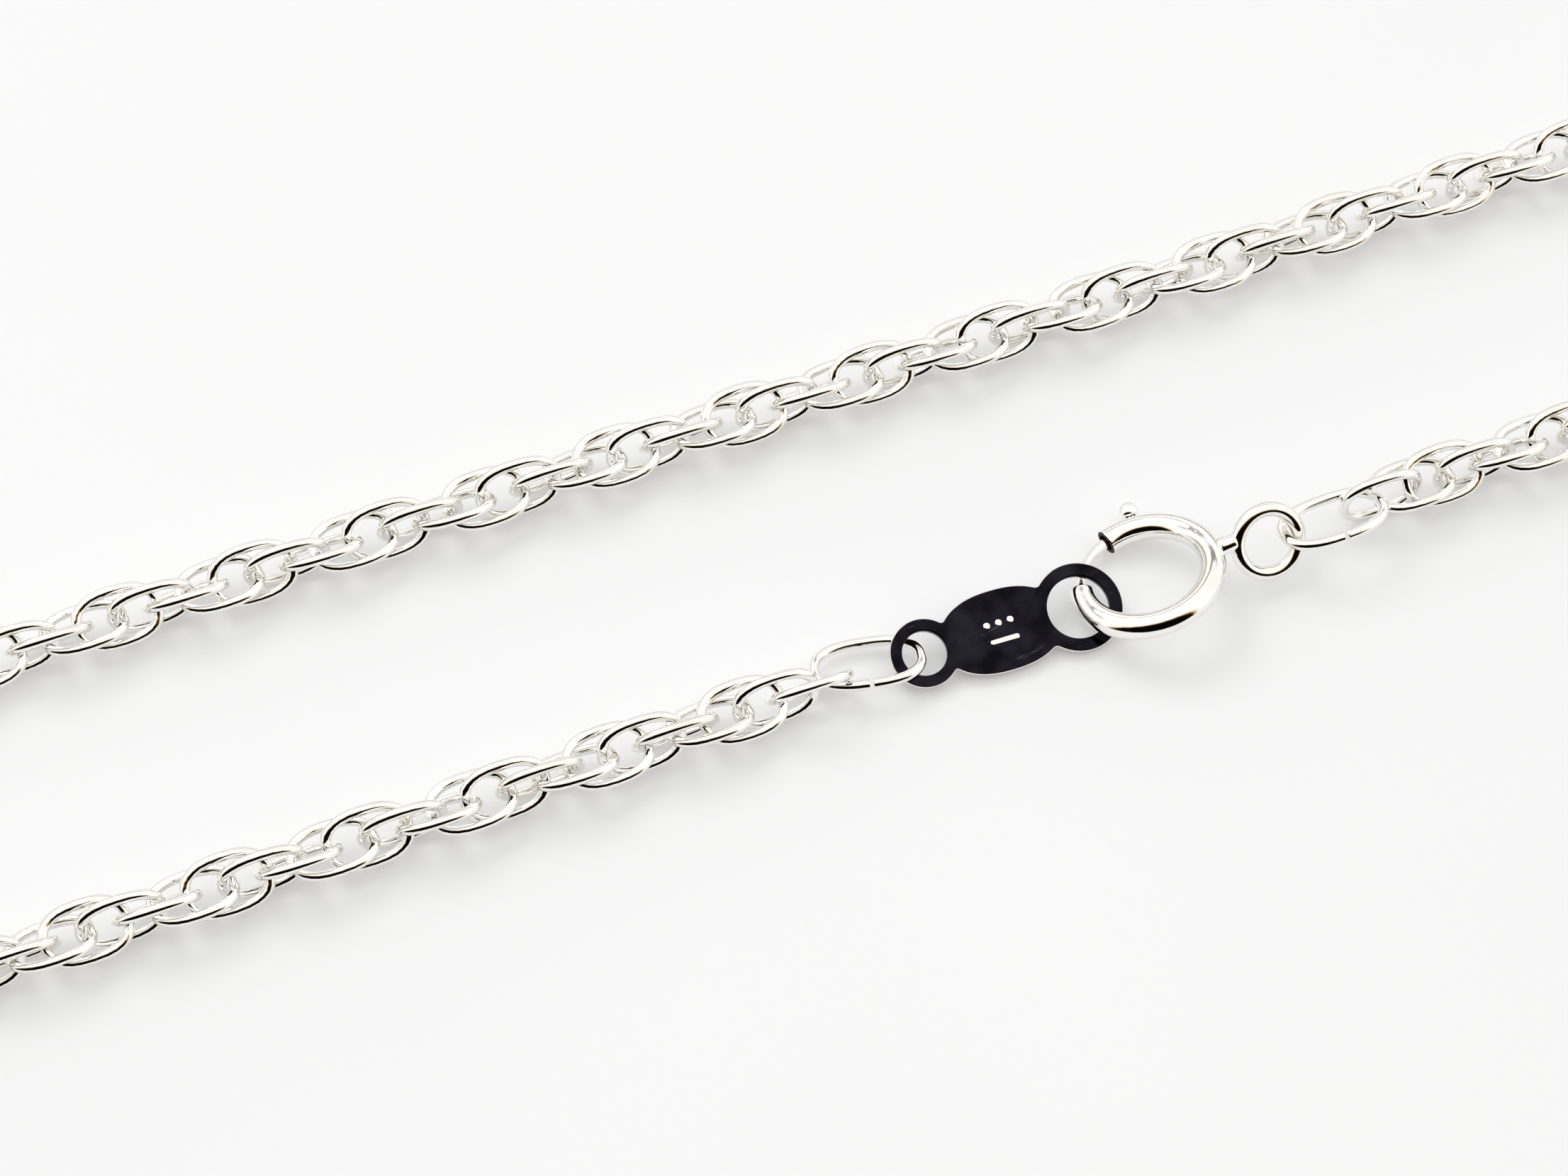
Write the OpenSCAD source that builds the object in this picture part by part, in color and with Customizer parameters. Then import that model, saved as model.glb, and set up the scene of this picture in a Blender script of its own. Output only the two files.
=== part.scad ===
// Silver rope chain necklace, lying closed on a flat surface.
// Oval wire links make the rope. A sprung ring fastener, a small plate and two oval rings close it.
// Millimetres. X runs along the two straight runs, Z is up, and the surface is at Z = 0.
// The near side is the fastener's, towards -Y.

/* [Rope] */
// Length round the whole fastened necklace
necklace_l = 398.5; // [330:0.5:410]
// Thickness of the rope link's wire
link_wire = 0.42; // [0.34:0.01:0.44]
// Outer length of a rope link
link_l = 4.1; // [4.1:0.01:4.3]
// Outer width of a rope link
link_w = 2.83; // [2.6:0.01:3.1]
// Distance from one link's middle to the next
link_pitch = 1.55; // [1.5:0.01:1.55]
// Turn from one link to the next about the rope's own line
link_turn = 47.22; // [46:0.01:48]
// Turn that the count of the links starts from
first_turn = 126; // [0:1:180]
// Turn of the rope's first link, which hangs on an oval ring and follows that
lead_turn = 85; // [80:1:88]
// How much closer the links sit round a bend
bend_ease = 0.03; // [0.03:0.01:0.05]

/* [Loop] */
// Distance between the two straight runs, middle to middle
run_gap = 14.4; // [12:0.1:30]
// Middle of the loop, set back so that the whole necklace is centred on the origin
loop_y = 1.11; // [0:0.01:2]
// Place of the fastener's middle along the near run
clasp_x = 14.75; // [-20:0.05:30]

/* [Sprung ring] */
// Outer diameter of the hollow ring
ring_d = 7.1; // [7:0.1:8]
// Thickness of the ring's tube
tube_d = 1.15; // [1.1:0.05:1.25]
// Wall of the tube
tube_wall = 0.18; // [0.14:0.01:0.2]
// Direction of the tube's open mouth
mouth_angle = 104; // [100:1:108]
// Direction of the tube's other end, which the bolt reaches
seat_angle = 165; // [160:1:170]
// Height of the ring's middle
ring_z = 1.6; // [1.55:0.05:1.7]
// How far the ring's middle lies outside the near run
ring_out = 0.2; // [0:0.05:0.5]
// Slope of the ring, its near side raised
ring_pitch = 16; // [15:0.5:17]
// Slope of the ring, its eyelet side raised
ring_roll = 10; // [9:0.5:11]

/* [Bolt] */
// Thickness of the bolt
bolt_d = 0.5; // [0.44:0.02:0.56]
// Direction of the thumb ball on the bolt
ball_angle = 77; // [74:1:80]
// Diameter of the thumb ball
ball_d = 0.94; // [0.8:0.02:1.1]
// Thickness of the ball's stem
stem_d = 0.3; // [0.24:0.02:0.34]
// Gap between the ball and the tube
ball_gap = 0.08; // [0.06:0.01:0.12]
// Gap between the stem and the sides of its slot
slot_gap = 0.08; // [0.06:0.01:0.1]
// Length of the bolt behind the ball, as an angle
bolt_tail = 20; // [14:1:24]
// How far the closed bolt reaches into the tube's other end, as an angle
bolt_reach = 4; // [3:0.5:6]
// How far the bolt slides back, as a turn about the ring's middle
bolt_throw = 54; // [40:1:54]

/* [Eyelet] */
// Outer diameter of the eyelet soldered to the ring
eyelet_d = 3.6; // [3.4:0.1:3.8]
// Thickness of the eyelet's wire
eyelet_wire = 0.68; // [0.6:0.02:0.74]
// Thickness of the short neck between the ring and the eyelet
neck_d = 0.8; // [0.6:0.05:0.9]
// Length of the neck
neck_l = 0.45; // [0.3:0.05:0.6]
// Direction of the eyelet from the ring's middle
eyelet_angle = -6; // [-8:1:0]
// Slope of the eyelet against the ring
eyelet_lean = 66; // [60:1:72]
// Turn of the eyelet away from the ring's own direction
eyelet_twist = 12; // [8:1:16]
// Turn of the eyelet in its own plane, which sets it lower
eyelet_drop = 28; // [24:1:32]

/* [Plate] */
// Distance between the plate's two eyes
plate_l = 7.2; // [6.8:0.1:7.6]
// Width of the plate's oval body
plate_w = 3.7; // [3.4:0.1:4]
// Distance from the large eye to the middle of the body
body_at = 3.6; // [3.4:0.1:3.8]
// Length of the straight part of the body's sides
body_flat = 1.9; // [1.4:0.1:2.2]
// Width of the bar that carries the body and the eyes
bar_w = 1.8; // [1.4:0.1:2.2]
// Thickness of the plate
plate_t = 0.38; // [0.34:0.02:0.4]
// Outer diameter of the small eye
small_eye_d = 3.1; // [2.9:0.05:3.3]
// Hole in the small eye
small_hole_d = 2; // [1.9:0.05:2.1]
// Outer diameter of the large eye
large_eye_d = 4; // [3.9:0.05:4.2]
// Hole in the large eye
large_hole_d = 2.8; // [2.75:0.05:2.85]
// Distance of the large hole's middle from the ring's middle
plate_at = 3.3; // [3.2:0.05:3.4]
// How far the large hole's middle lies outside the near run
plate_out = 0.2; // [0.1:0.05:0.3]
// Slope of the plate, its far side raised
plate_pitch = 20; // [19:0.5:21]
// Height of the plate's near edge, which the ring holds just off the surface
plate_lift = 0.1; // [0.05:0.05:0.2]
// Turn of the plate's length from the near run
plate_turn = -2.2; // [-5:0.1:0]

/* [Oval rings] */
// Outer length of an oval ring
oval_l = 5.2; // [5:0.1:5.5]
// Outer width of an oval ring
oval_w = 3.1; // [2.9:0.1:3.3]
// Thickness of an oval ring's wire
oval_wire = 0.45; // [0.4:0.01:0.48]
// Gap where an oval ring's ends meet
oval_joint = 0.06; // [0.02:0.01:0.1]
// Place of the plate's oval ring, its near end, from the small hole's middle
tag_ring_at = [0.13, 0.42, 0.13]; // [0:0.01:0.5]
// Turns of the plate's oval ring about X, Y and Z
tag_ring_turns = [-14.4, -2.5, -13.2]; // [-20:0.1:20]
// Place of the eyelet's oval ring, its near end, from the end of the neck
end_link_at = [2.22, -0.29, -0.35]; // [-0.5:0.01:2.5]
// Turns of the eyelet's oval ring about X, Y and Z
end_link_turns = [-16.3, -1.1, 0.9]; // [-20:0.1:20]
// How far the rope's first link reaches into the eyelet's oval ring
rope_start = 1.89; // [1.8:0.01:1.95]
// How far the rope's last link reaches into the plate's oval ring
rope_end = 1.71; // [1.6:0.01:1.8]

/* [Hidden] */
$fn = 48;
silver = "silver";
rope_radius = link_w / 2;
bend_r = run_gap / 2;
near_y = loop_y - run_gap / 2;
far_y = loop_y + run_gap / 2;
link_a = (link_l - link_wire) / 2;
link_b = (link_w - link_wire) / 2;
bend_pitch = link_pitch - bend_ease;
ring_r = (ring_d - tube_d) / 2;
bore_d = tube_d - 2 * tube_wall;
slot_w = stem_d + 2 * slot_gap;
eyelet_r = (eyelet_d - eyelet_wire) / 2;

// How far a solid dips into the one it is joined to.
dip = 0.05;

// Places from here to the oval rings' middles are measured from the fastener's middle on the near run.
neck_run = ring_d / 2 + neck_l;
neck_rise = neck_run * cos(eyelet_angle) * sin(ring_roll);
neck_side = neck_run * sin(eyelet_angle);
neck_end = [
  neck_run * cos(eyelet_angle) * cos(ring_roll),
  neck_side * cos(ring_pitch) + neck_rise * sin(ring_pitch) - ring_out,
  neck_rise * cos(ring_pitch) - neck_side * sin(ring_pitch) + ring_z
];
plate_z = plate_lift + large_eye_d / 2 * sin(plate_pitch);
small_hole_at = [
  -plate_at - plate_l * cos(plate_turn), -plate_out - plate_l * sin(plate_turn), plate_z
];
end_link_mid = neck_end + end_link_at + [oval_l / 2, 0, 0];
tag_ring_mid = small_hole_at + tag_ring_at - [oval_l / 2, 0, 0];

// The rope's first and last links hang in the two oval rings.
start_x = clasp_x + end_link_mid[0] + oval_l / 2 - rope_start + link_l / 2;
finish_x = clasp_x + tag_ring_mid[0] - oval_l / 2 + rope_end - link_l / 2;
clasp_span = start_x - finish_x;
bend_l = PI * bend_r;
bend_links = bend_l / bend_pitch;
link_count = round((necklace_l - clasp_span - 2 * bend_l) / link_pitch + 2 * bend_links) + 1;
straight_links = link_count - 1 - 2 * bend_links;
run_l = (straight_links * link_pitch + clasp_span) / 2;
half_run = run_l / 2;
split = floor(link_count / 2);

// Way along the rope's line, from the first link's middle, for each stretch's last link.
stretch_a = half_run - start_x;
link_marks = [
  0,
  stretch_a / link_pitch,
  stretch_a / link_pitch + bend_links,
  (stretch_a + run_l) / link_pitch + bend_links,
  (stretch_a + run_l) / link_pitch + 2 * bend_links,
  link_count - 1
];
way_marks = [
  0,
  stretch_a,
  stretch_a + bend_l,
  stretch_a + bend_l + run_l,
  stretch_a + 2 * bend_l + run_l,
  stretch_a + 2 * bend_l + run_l + half_run + finish_x
];
marks = [for (i = [0 : 5]) [link_marks[i], way_marks[i]]];

// Place and heading of the rope's line, as [x, y, heading], at a way w from the first link.
function on_loop(w) =
  w < way_marks[1] ? [start_x + w, near_y, 0] :
  w < way_marks[2] ? on_bend(half_run, w - way_marks[1], -90) :
  w < way_marks[3] ? [half_run - (w - way_marks[2]), far_y, 180] :
  w < way_marks[4] ? on_bend(-half_run, w - way_marks[3], 90) :
  [-half_run + (w - way_marks[4]), near_y, 0];

function on_bend(x, w, from) =
  let (a = from + w / bend_l * 180)
  [x + bend_r * cos(a), loop_y + bend_r * sin(a), a + 90];

// A closed wire ring with two straight sides, lying in the XY plane. a and b are half its middle
// line's length and width.
module wire_oval(a, b, wire) {
  for (half = [0, 180]) rotate([0, 0, half]) {
    translate([a - b, 0, 0]) rotate([0, 0, -90])
      rotate_extrude(angle = 180) translate([b, 0]) circle(d = wire);
    translate([b - a, b, 0]) rotate([0, 90, 0]) cylinder(d = wire, h = 2 * (a - b));
  }
}

module links(first, last) {
  for (i = [first : last]) {
    at = on_loop(lookup(i, marks));
    turn = i == 0 ? lead_turn : first_turn + i * link_turn;
    translate([at[0], at[1], rope_radius]) rotate([0, 0, at[2]]) rotate([turn, 0, 0])
      wire_oval(link_a, link_b, link_wire);
  }
}

module rope_a() {
  color(silver) links(0, split - 1);
}

module rope_b() {
  color(silver) links(split, link_count - 1);
}

// Everything on the fastener is drawn round the ring's middle and set down by this.
module on_ring() {
  translate([clasp_x, near_y - ring_out, ring_z])
    rotate([-ring_pitch, 0, 0]) rotate([0, -ring_roll, 0]) children();
}

module arc(r, d, from, to) {
  rotate([0, 0, from]) rotate_extrude(angle = to - from) translate([r, 0]) circle(d = d);
}

module spring_ring() {
  past = 2;
  color(silver) on_ring() {
    difference() {
      union() {
        arc(ring_r, tube_d, seat_angle, mouth_angle + 360);
        rotate([0, 0, eyelet_angle]) translate([ring_r, 0, 0]) rotate([0, 90, 0])
          cylinder(d = neck_d, h = tube_d / 2 + neck_l + dip);
      }
      arc(ring_r, bore_d, seat_angle - past, mouth_angle + 360 + past);
      slot();
    }
    rotate([0, 0, eyelet_angle]) translate([ring_d / 2 + neck_l, 0, 0])
      rotate([0, 0, eyelet_twist]) rotate([eyelet_lean, 0, 0]) rotate([0, 0, -eyelet_drop])
        translate([eyelet_d / 2 - dip, 0, 0])
          rotate_extrude() translate([eyelet_r, 0]) circle(d = eyelet_wire);
  }
}

// The slot that the ball's stem slides along, cut through the outer wall.
module slot() {
  spare = 5;
  rotate([0, 0, ball_angle - bolt_throw - spare])
    rotate_extrude(angle = bolt_throw + 2 * spare)
      translate([ring_r, -slot_w / 2]) square([tube_d, slot_w]);
}

module bolt() {
  ball_r = ball_d / 2;
  ball_at = ring_d / 2 + ball_gap + ball_r;
  color(silver) on_ring() {
    arc(ring_r, bolt_d, ball_angle - bolt_tail, seat_angle + bolt_reach);
    rotate([0, 0, ball_angle]) {
      translate([ring_r, 0, 0]) rotate([0, 90, 0]) cylinder(d = stem_d, h = ball_at - ring_r);
      translate([ball_at, 0, 0]) sphere(r = ball_r);
    }
  }
}

module tag_plate() {
  color("#241f2a")
    translate([clasp_x - plate_at, near_y - plate_out, plate_z])
      rotate([0, 0, plate_turn]) rotate([plate_pitch, 0, 0])
        linear_extrude(plate_t) plate_outline();
}

// The plate's outline, with the large eye's hole at the origin.
module plate_outline() {
  difference() {
    union() {
      circle(d = large_eye_d);
      translate([-plate_l, 0]) circle(d = small_eye_d);
      for (side = [-1, 1]) translate([side * body_flat / 2 - body_at, 0]) circle(d = plate_w);
      translate([-body_flat / 2 - body_at, -plate_w / 2]) square([body_flat, plate_w]);
      translate([-plate_l, -bar_w / 2]) square([plate_l, bar_w]);
    }
    circle(d = large_hole_d);
    translate([-plate_l, 0]) circle(d = small_hole_d);
  }
}

// An oval ring with a thin joint in one long side.
module oval_ring() {
  a = (oval_l - oval_wire) / 2;
  b = (oval_w - oval_wire) / 2;
  difference() {
    wire_oval(a, b, oval_wire);
    translate([-oval_joint / 2, -b - oval_wire, -oval_wire])
      cube([oval_joint, 2 * oval_wire, 2 * oval_wire]);
  }
}

// An oval ring set down with its middle at a place from the fastener's middle on the near run.
module oval_ring_at(mid, turns) {
  translate([clasp_x + mid[0], near_y + mid[1], mid[2]])
    rotate([0, 0, turns[2]]) rotate([turns[0], turns[1], 0]) oval_ring();
}

module tag_ring() {
  color(silver) oval_ring_at(tag_ring_mid, tag_ring_turns);
}

module end_link() {
  color(silver) oval_ring_at(end_link_mid, end_link_turns);
}

rope_a();
rope_b();
spring_ring();
bolt();
tag_plate();
tag_ring();
end_link();
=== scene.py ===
# %% [markdown]
# # A silver rope chain, link by link
# The necklace lies closed on a white surface. The frame file gives its bodies and the plain solids;
# this lesson lays smooth, polished surfaces over them and lights them as a small piece of silver is
# lit: a bright room all round, with one dark place low on the viewer's side for the metal to mirror.

# %% The frame
import math

import bmesh
import bpy
import numpy as np
from mathutils import Matrix


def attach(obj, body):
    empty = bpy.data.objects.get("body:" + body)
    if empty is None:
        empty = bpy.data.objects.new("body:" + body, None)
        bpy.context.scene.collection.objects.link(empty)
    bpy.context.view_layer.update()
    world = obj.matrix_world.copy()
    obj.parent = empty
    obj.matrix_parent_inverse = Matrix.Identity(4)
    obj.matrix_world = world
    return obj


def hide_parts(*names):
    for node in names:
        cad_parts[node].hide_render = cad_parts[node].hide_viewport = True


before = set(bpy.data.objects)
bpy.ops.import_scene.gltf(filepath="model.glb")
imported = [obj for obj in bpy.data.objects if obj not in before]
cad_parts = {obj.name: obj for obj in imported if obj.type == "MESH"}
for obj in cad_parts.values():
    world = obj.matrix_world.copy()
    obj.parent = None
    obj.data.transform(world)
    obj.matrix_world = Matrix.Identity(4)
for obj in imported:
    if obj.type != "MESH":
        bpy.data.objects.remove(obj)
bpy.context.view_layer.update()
scene = bpy.context.scene

# %% [markdown]
# ## Units and turns
# Every size below is in millimetres, as a jeweller would give it, and becomes metres only when a
# mesh is written. X runs along the two straight runs of the rope, and Z is up. Turns are 3 by 3
# matrices that are applied to whole arrays of points.

# %% Units and turns
MM = 0.001


def turn(axis, degrees):
    """The matrix that turns points about one axis by the right-hand rule, one for each angle."""
    a = np.radians(degrees)
    c, s, one, nil = np.cos(a), np.sin(a), np.ones_like(a), np.zeros_like(a)
    rows = {
        "X": [[one, nil, nil], [nil, c, -s], [nil, s, c]],
        "Y": [[c, nil, s], [nil, one, nil], [-s, nil, c]],
        "Z": [[c, -s, nil], [s, c, nil], [nil, nil, one]],
    }[axis]
    return np.moveaxis(np.array(rows), (0, 1), (-2, -1))


def put(points, matrix, at=(0, 0, 0)):
    """Points times the matrix, then moved to the place at."""
    return points @ np.swapaxes(matrix, -1, -2) + np.asarray(at, float)


# %% [markdown]
# ## A surface from a grid
# Every piece is a grid of points: one direction runs along the piece, the other round it. A closed
# ring joins its last row to its first. An open rod ends in a single point at each end. Faces have
# four corners, and where one is only three-sided its last corner is repeated and dropped later.

# %% Grid faces
def grid_faces(rows, columns, ring=True):
    """Four-sided faces between neighbouring points of a rows by columns grid whose columns close up.
    With ring, the last row also joins the first."""
    i = np.arange(rows if ring else rows - 1)[:, None]
    j = np.arange(columns)[None, :]
    i2, j2 = (i + 1) % rows, (j + 1) % columns
    return np.stack(np.broadcast_arrays(
        i * columns + j, i2 * columns + j, i2 * columns + j2, i * columns + j2), -1).reshape(-1, 4)


def fan_faces(rim, tip):
    """Three-sided faces from a closed rim of points to one tip, which is given twice."""
    tips = np.full_like(rim, tip)
    return np.stack([rim, np.roll(rim, -1), tips, tips], -1)


def joined(parts):
    """Several surfaces as one: each part's faces count on from the points before it."""
    starts = np.cumsum([0] + [len(points) for points, _ in parts[:-1]])
    return (np.concatenate([points for points, _ in parts]),
            np.concatenate([faces + start for (_, faces), start in zip(parts, starts)]))


# %% [markdown]
# ## From arrays to a mesh
# The arrays go into the mesh in one stroke each, and Blender turns all faces outwards. Smooth
# shading follows, with a sharp edge only where two faces meet at more than the given angle, such as
# at a cut end. A piece then says which node it stands for, which body carries it, and which
# material it takes.

# %% Making a piece
def piece(name, surface, material, body, replaced, sharp=40.0):
    """A mesh object made from (points, faces), in place, riding on its body."""
    points, faces = surface
    three_sided = faces[:, 2] == faces[:, 3]
    used = np.ones(faces.shape, bool)
    used[:, 3] = ~three_sided
    corners = faces[used]
    sizes = np.where(three_sided, 3, 4)
    mesh = bpy.data.meshes.new(name)
    mesh.vertices.add(len(points))
    mesh.vertices.foreach_set("co", (points * MM).astype(np.float32).ravel())
    mesh.loops.add(len(corners))
    mesh.loops.foreach_set("vertex_index", corners.astype(np.int32))
    mesh.polygons.add(len(sizes))
    mesh.polygons.foreach_set("loop_start", (np.cumsum(sizes) - sizes).astype(np.int32))
    mesh.update(calc_edges=True)
    whole = bmesh.new()
    whole.from_mesh(mesh)
    bmesh.ops.recalc_face_normals(whole, faces=whole.faces)
    open_edges = sum(len(edge.link_faces) != 2 for edge in whole.edges)
    whole.to_mesh(mesh)
    whole.free()
    mesh.shade_smooth()
    mesh.set_sharp_from_angle(angle=math.radians(sharp))
    mesh.materials.append(material)
    obj = bpy.data.objects.new(name, mesh)
    scene.collection.objects.link(obj)
    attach(obj, body)
    if replaced:
        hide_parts(replaced)
    print(name, len(points), "points,", len(sizes), "faces,", open_edges, "open edges")
    return obj


def set_attribute(obj, name, values):
    """One number for each point of the mesh, which a material can read."""
    attribute = obj.data.attributes.new(name, "FLOAT", "POINT")
    attribute.data.foreach_set("value", values.astype(np.float32))


# %% [markdown]
# ## Materials
# One small helper adds a node, sets its values and links its inputs. Colours are written as the hex
# values that a screen shows, and one function turns them into the linear values that light uses. A
# mix node has its sockets once for each kind of value, so those for colours go by their numbers.

# %% Colour and nodes
MIX_SHARE, MIX_FIRST, MIX_SECOND, MIX_COLOUR = 0, 6, 7, 2


def linear(hex_colour, alpha=1.0):
    """An sRGB hex colour as linear light: (c + 0.055) / 1.055 to the power 2.4 above the dark end."""
    c = np.array([int(hex_colour[k:k + 2], 16) for k in (1, 3, 5)]) / 255
    c = np.where(c <= 0.04045, c / 12.92, ((c + 0.055) / 1.055) ** 2.4)
    return (*c.tolist(), alpha)


def add(tree, kind, values=(), links=(), **settings):
    """Adds a node, sets its properties, then its input values, then links outputs into its inputs."""
    node = tree.nodes.new(kind)
    for key, value in settings.items():
        setattr(node, key, value)
    for key, value in dict(values).items():
        node.inputs[key].default_value = value
    for key, output in dict(links).items():
        tree.links.new(output, node.inputs[key])
    return node


def set_stops(node, stops):
    """Gives a colour ramp node its (place, hex colour) stops, and returns its colour output."""
    while len(node.color_ramp.elements) < len(stops):
        node.color_ramp.elements.new(0.5)
    for element, (place, colour) in zip(node.color_ramp.elements, stops):
        element.position, element.color = place, linear(colour)
    return node.outputs["Color"]


def new_material(name):
    """A material with a metal shader and its output, and its object coordinates."""
    material = bpy.data.materials.new(name)
    material.use_nodes = True
    tree = material.node_tree
    tree.nodes.clear()
    shader = add(tree, "ShaderNodeBsdfPrincipled", {"Metallic": 1.0})
    add(tree, "ShaderNodeOutputMaterial", links={"Surface": shader.outputs["BSDF"]})
    place = add(tree, "ShaderNodeTexCoord").outputs["Object"]
    return material, tree, shader, place


def multiply_add(tree, value, factor, more):
    """Adds a node that works out value * factor + more, and returns its output."""
    return add(tree, "ShaderNodeMath", {1: factor}, {0: value, 2: more},
               operation="MULTIPLY_ADD").outputs["Value"]


def per_mm(size):
    """The noise scale at which one cell of the pattern is this many millimetres."""
    return 1 / (size * MM)


# %% [markdown]
# ## Polished sterling silver
# The wire is drawn, bent, soldered and then tumbled with steel shot, which leaves a bright skin with
# a very fine, uneven lie: it mirrors the room, but lines in the mirror image waver a little. Silver
# is the whitest metal, and it is a touch warm where the thinnest film of tarnish has begun.

# %% Silver
INSIDE_DULLER, WAVES_TO_MARKS = 0.4, 12.0


def polished_silver():
    """Metal whose colour drifts by a shade over 2 mm, with tumbling marks of 0.25 mm on waves of 0.8
    mm. Where the inside attribute is one, it is duller and painted dark brown: painted shade inside
    the tube and on its mouth's rim."""
    material, tree, shader, place = new_material("tumbled_sterling_silver")
    inside = add(tree, "ShaderNodeAttribute", attribute_name="inside").outputs["Fac"]
    drift = add(tree, "ShaderNodeTexNoise", {"Scale": per_mm(2.0), "Detail": 3.0}, {"Vector": place})
    shade = add(tree, "ShaderNodeValToRGB", links={"Fac": drift.outputs["Fac"]})
    clean = set_stops(shade, [(0.3, "#FCFBF9"), (0.7, "#F4F1EB")])
    # Painted shade: where the inside attribute is one, inside the tube and on its mouth's rim, the
    # colour is a dark brown.
    colour = add(tree, "ShaderNodeMix", {MIX_SECOND: linear("#3B2A1E")},
                 {MIX_SHARE: inside, MIX_FIRST: clean}, data_type="RGBA")
    tree.links.new(colour.outputs[MIX_COLOUR], shader.inputs["Base Color"])
    marks = add(tree, "ShaderNodeTexNoise", {"Scale": per_mm(0.25), "Detail": 4.0}, {"Vector": place})
    rough = add(tree, "ShaderNodeMapRange", {"From Min": 0.3, "From Max": 0.75, "To Min": 0.05,
                "To Max": 0.12}, {"Value": marks.outputs["Fac"]})
    dull = multiply_add(tree, inside, INSIDE_DULLER, rough.outputs["Result"])
    tree.links.new(dull, shader.inputs["Roughness"])
    waves = add(tree, "ShaderNodeTexNoise", {"Scale": per_mm(0.8), "Detail": 1.0}, {"Vector": place})
    height = multiply_add(tree, waves.outputs["Fac"], WAVES_TO_MARKS, marks.outputs["Fac"])
    lie = add(tree, "ShaderNodeBump", {"Strength": 0.6, "Distance": 0.002 * MM}, {"Height": height})
    tree.links.new(lie.outputs["Normal"], shader.inputs["Normal"])
    return material


silver = polished_silver()
print("material", silver.name)

# %% [markdown]
# ## Black plating
# The little plate is the same silver under a black plating, as thin as a breath and as bright as the
# metal below it. It mirrors the room very darkly, with a faint purple cast, and handling has left a
# few fine rubbed lines in it. The plate was stamped out, so its cut edge is bare, bright silver: an
# attribute on the points says where.

# %% Plating
RUBBED_SCALE, RUBBED_TURN = (1.0, 7.0, 1.0), (0.0, 0.0, 0.35)


def black_plating():
    """Near-black metal on the faces, silver where the cut_edge attribute is one. The rubbed lines are
    a noise pressed to a seventh across their run."""
    material, tree, shader, place = new_material("black_plating_on_silver")
    edge = add(tree, "ShaderNodeAttribute", attribute_name="cut_edge").outputs["Fac"]
    cloud = add(tree, "ShaderNodeTexNoise", {"Scale": per_mm(1.4), "Detail": 4.0}, {"Vector": place})
    black = add(tree, "ShaderNodeValToRGB", links={"Fac": cloud.outputs["Fac"]})
    drawn = add(tree, "ShaderNodeMapping", {"Scale": RUBBED_SCALE, "Rotation": RUBBED_TURN},
                {"Vector": place})
    rub = add(tree, "ShaderNodeTexNoise", {"Scale": per_mm(1.6), "Detail": 6.0, "Roughness": 0.72},
              {"Vector": drawn.outputs["Vector"]})
    lines = add(tree, "ShaderNodeValToRGB", links={"Fac": rub.outputs["Fac"]})
    worn = add(tree, "ShaderNodeMix", {MIX_SHARE: 1.0},
               {MIX_FIRST: set_stops(black, [(0.36, "#121116"), (0.64, "#27252C")]),
                MIX_SECOND: set_stops(lines, [(0.62, "#000000"), (0.69, "#3A3840")])},
               data_type="RGBA", blend_type="ADD")
    colour = add(tree, "ShaderNodeMix", {MIX_SECOND: linear("#EFECE6")},
                 {MIX_SHARE: edge, MIX_FIRST: worn.outputs[MIX_COLOUR]}, data_type="RGBA")
    tree.links.new(colour.outputs[MIX_COLOUR], shader.inputs["Base Color"])
    grain = add(tree, "ShaderNodeTexNoise", {"Scale": per_mm(0.12), "Detail": 5.0}, {"Vector": place})
    rough = add(tree, "ShaderNodeMapRange", {"From Min": 0.3, "From Max": 0.75, "To Min": 0.07,
                "To Max": 0.16}, {"Value": grain.outputs["Fac"]})
    tree.links.new(rough.outputs["Result"], shader.inputs["Roughness"])
    skin = add(tree, "ShaderNodeBump", {"Strength": 0.12, "Distance": 0.004 * MM},
               {"Height": grain.outputs["Fac"]})
    tree.links.new(skin.outputs["Normal"], shader.inputs["Normal"])
    return material


plating = black_plating()
print("material", plating.name)

# %% [markdown]
# ## Wire, rods and balls
# The other metal pieces are round too, but there are only a few, so they are drawn finely: a circle
# carried along a line. The circle may swell or shrink on the way, which rounds the ends of a rod,
# makes a ball or draws out a soldered fillet.

# %% Carrying a circle
def carried(middle, across, up, radius, sides, ring=False):
    """Middle point + radius * (cos * across + sin * up), for every step and every side. An open rod
    gets one point at each end."""
    phi = 2 * np.pi * np.arange(sides) / sides
    radius = np.broadcast_to(radius, len(middle))[:, None, None]
    points = middle[:, None] + radius * (np.cos(phi)[:, None] * across[:, None]
                                         + np.sin(phi)[:, None] * up[:, None])
    n = len(middle)
    points, faces = points.reshape(-1, 3), grid_faces(n, sides, ring)
    if ring:
        return points, faces
    rim = np.arange(sides)
    fans = [fan_faces(rim, n * sides), fan_faces(rim + (n - 1) * sides, n * sides + 1)]
    return np.concatenate([points, middle[:1], middle[-1:]]), np.concatenate([faces] + fans)


def arc_line(radius, degrees):
    """Points on a flat circle about the origin, with the directions across and up."""
    t = np.radians(degrees)
    across = np.stack([np.cos(t), np.sin(t), 0 * t], -1)
    return across * radius, across, np.tile([0.0, 0.0, 1.0], (len(t), 1))


def end_rounding(way, length, size):
    """Quarter circle from 0 at either end of a rod to 1 at the given size from it."""
    near = np.clip(np.minimum(way, length - way) / size, 0, 1)
    return np.sqrt(1 - (1 - near) ** 2)


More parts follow.
